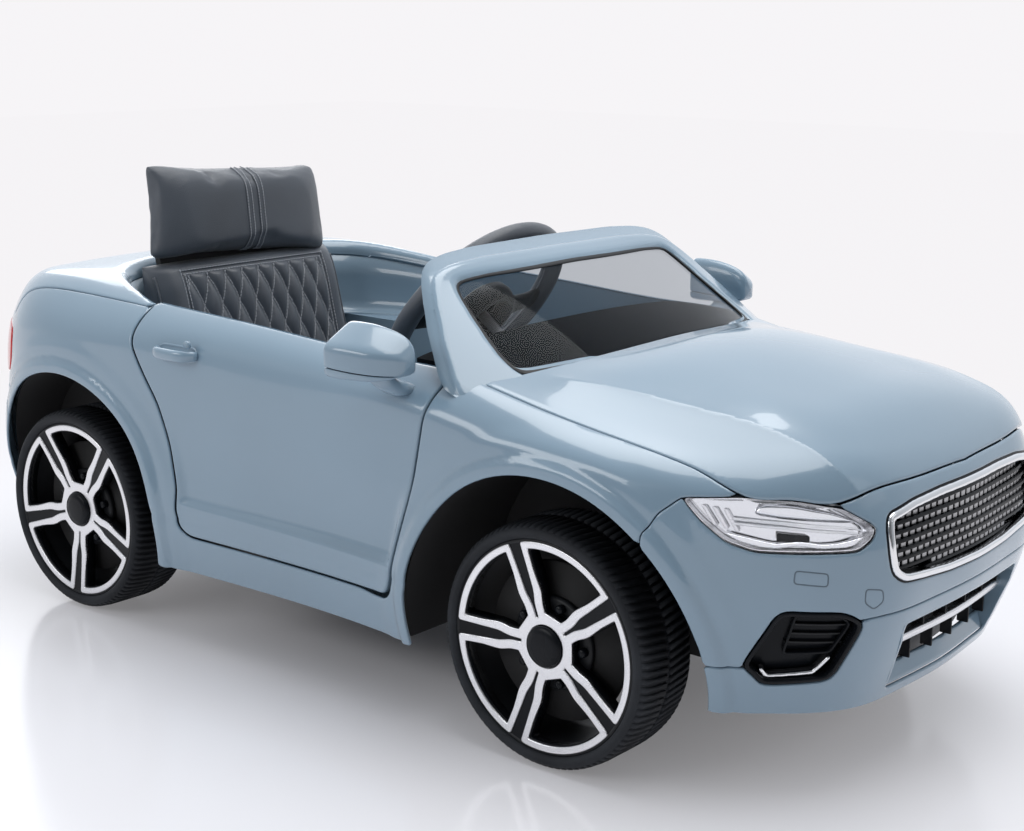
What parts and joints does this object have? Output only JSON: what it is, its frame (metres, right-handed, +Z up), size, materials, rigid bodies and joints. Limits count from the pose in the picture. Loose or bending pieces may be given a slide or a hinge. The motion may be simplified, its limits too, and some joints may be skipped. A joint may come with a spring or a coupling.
{
  "type": "electric ride on car",
  "caption": "Open child's ride-on car with hinged doors, a quilted seat, a steering wheel linked to the front wheels, a windscreen and electric drive at the rear axle.",
  "frame": {"origin": "on the ground, under the middle of the car's overall box", "axes": "+X forward, +Y to the car's left, +Z up"},
  "size_m": [1.2635, 0.684, 0.5155],
  "materials": {
    "body_plastic": "glossy grey-blue",
    "black_plastic": "satin black",
    "clear_plastic": "clear",
    "bright_trim": "plated",
    "red_plastic": "glossy red",
    "steel": "plain",
    "dark_leather": "charcoal, sewn",
    "wheel_rubber": "matt",
    "rim_plastic": "black with silver faces"
  },
  "bodies": {
    "car": {"body_side_right": "body_plastic", "body_side_left": "body_plastic", "rear_deck": "body_plastic", "hood": "body_plastic", "cockpit_tub": "body_plastic", "front_bumper": "body_plastic", "front_lip": "body_plastic", "rear_bumper": "body_plastic", "windscreen_frame": "body_plastic", "fog_pockets": "black_plastic", "grille_bars": "black_plastic", "intake_insert": "black_plastic", "dashboard": "black_plastic", "floor_pan": "black_plastic", "front_wheel_liners": "black_plastic", "rear_wheel_liners": "black_plastic", "seat_board": "black_plastic", "gearbox_right": "black_plastic", "gearbox_left": "black_plastic", "battery": "black_plastic", "headlight_lens_right": "clear_plastic", "headlight_lens_left": "clear_plastic", "windscreen": "clear_plastic", "headlight_bowl_right": "bright_trim", "headlight_bowl_left": "bright_trim", "grille_frame": "bright_trim", "tail_lamp_right": "red_plastic", "tail_lamp_left": "red_plastic", "front_axle_beam": "steel", "pivot_pins": "steel", "rear_axle": "steel", "drive_motors": "steel", "backrest": "dark_leather", "headrest": "dark_leather", "seat_cushion": "dark_leather"},
    "door_right": {"door_right": "body_plastic", "door_panel_right": "body_plastic", "mirror_right": "body_plastic", "handle_right": "body_plastic"},
    "door_left": {"door_left": "body_plastic", "door_panel_left": "body_plastic", "mirror_left": "body_plastic", "handle_left": "body_plastic"},
    "steering": {"steering_wheel": "black_plastic", "steering_column": "steel"},
    "horn_button": {"horn_button": "bright_trim"},
    "tie_rod": {"tie_rod": "steel"},
    "knuckle_right": {"knuckle_right": "steel"},
    "knuckle_left": {"knuckle_left": "steel"},
    "accelerator_pedal": {"accelerator_pedal": "black_plastic"},
    "start_button": {"start_button": "red_plastic"},
    "direction_rocker": {"direction_rocker": "black_plastic"},
    "front_right_wheel": {"front_right_tyre": "wheel_rubber", "front_right_rim": "rim_plastic"},
    "front_left_wheel": {"front_left_tyre": "wheel_rubber", "front_left_rim": "rim_plastic"},
    "rear_right_wheel": {"rear_right_tyre": "wheel_rubber", "rear_right_rim": "rim_plastic"},
    "rear_left_wheel": {"rear_left_tyre": "wheel_rubber", "rear_left_rim": "rim_plastic"}
  },
  "joints": [
    {"name": "right_door_swing", "type": "hinge", "parent": "car", "child": "door_right", "pos_m": [0.1325, -0.2763, 0.131], "axis": [0.2554, 0, 0.9668], "range_deg": [0, 55]},
    {"name": "left_door_swing", "type": "hinge", "parent": "car", "child": "door_left", "pos_m": [0.1325, 0.2763, 0.131], "axis": [-0.2554, 0, -0.9668], "range_deg": [0, 55]},
    {"name": "steering_turn", "type": "hinge", "parent": "car", "child": "steering", "pos_m": [0.01, 0, 0.372], "axis": [-0.7986, 0, 0.6018], "range_deg": [-40, 40]},
    {"name": "tie_rod_slide", "type": "slide", "parent": "car", "child": "tie_rod", "axis": [0, -1, 0], "range_m": [-0.0158, 0.0158]},
    {"name": "right_knuckle_turn", "type": "hinge", "parent": "car", "child": "knuckle_right", "pos_m": [0.328, -0.18, 0.12], "axis": [0, 0, 1], "range_deg": [-20, 20]},
    {"name": "left_knuckle_turn", "type": "hinge", "parent": "car", "child": "knuckle_left", "pos_m": [0.328, 0.18, 0.12], "axis": [0, 0, 1], "range_deg": [-20, 20]},
    {"name": "horn_press", "type": "slide", "parent": "steering", "child": "horn_button", "axis": [0.7986, 0, -0.6018], "range_m": [0, 0.003], "stiffness_N_per_m": 400, "springref_m": -0.003},
    {"name": "pedal_press", "type": "hinge", "parent": "car", "child": "accelerator_pedal", "pos_m": [0.058, -0.085, 0.116], "axis": [0, 1, 0], "range_deg": [0, 15], "stiffness_Nm_per_rad": 2, "springref_deg": -11.46},
    {"name": "start_press", "type": "slide", "parent": "car", "child": "start_button", "axis": [1, 0, 0], "range_m": [0, 0.003], "stiffness_N_per_m": 300, "springref_m": -0.001},
    {"name": "rocker_tilt", "type": "hinge", "parent": "car", "child": "direction_rocker", "pos_m": [0.134, 0.12, 0.3], "axis": [0, 1, 0], "range_deg": [-8, 8]},
    {"name": "front_right_wheel_roll", "type": "hinge", "parent": "knuckle_right", "child": "front_right_wheel", "pos_m": [0.328, -0.239, 0.12], "axis": [0, 1, 0], "continuous": true},
    {"name": "front_left_wheel_roll", "type": "hinge", "parent": "knuckle_left", "child": "front_left_wheel", "pos_m": [0.328, 0.239, 0.12], "axis": [0, 1, 0], "continuous": true},
    {"name": "rear_right_wheel_roll", "type": "hinge", "parent": "car", "child": "rear_right_wheel", "pos_m": [-0.378, -0.239, 0.12], "axis": [0, 1, 0], "continuous": true},
    {"name": "rear_left_wheel_roll", "type": "hinge", "parent": "car", "child": "rear_left_wheel", "pos_m": [-0.378, 0.239, 0.12], "axis": [0, 1, 0], "continuous": true}
  ],
  "couplings": [
    {"joint": "tie_rod_slide", "follows": "steering_turn", "m_per_rad": 0.0225},
    {"joint": "right_knuckle_turn", "follows": "steering_turn", "ratio": 0.5},
    {"joint": "left_knuckle_turn", "follows": "steering_turn", "ratio": 0.5}
  ]
}
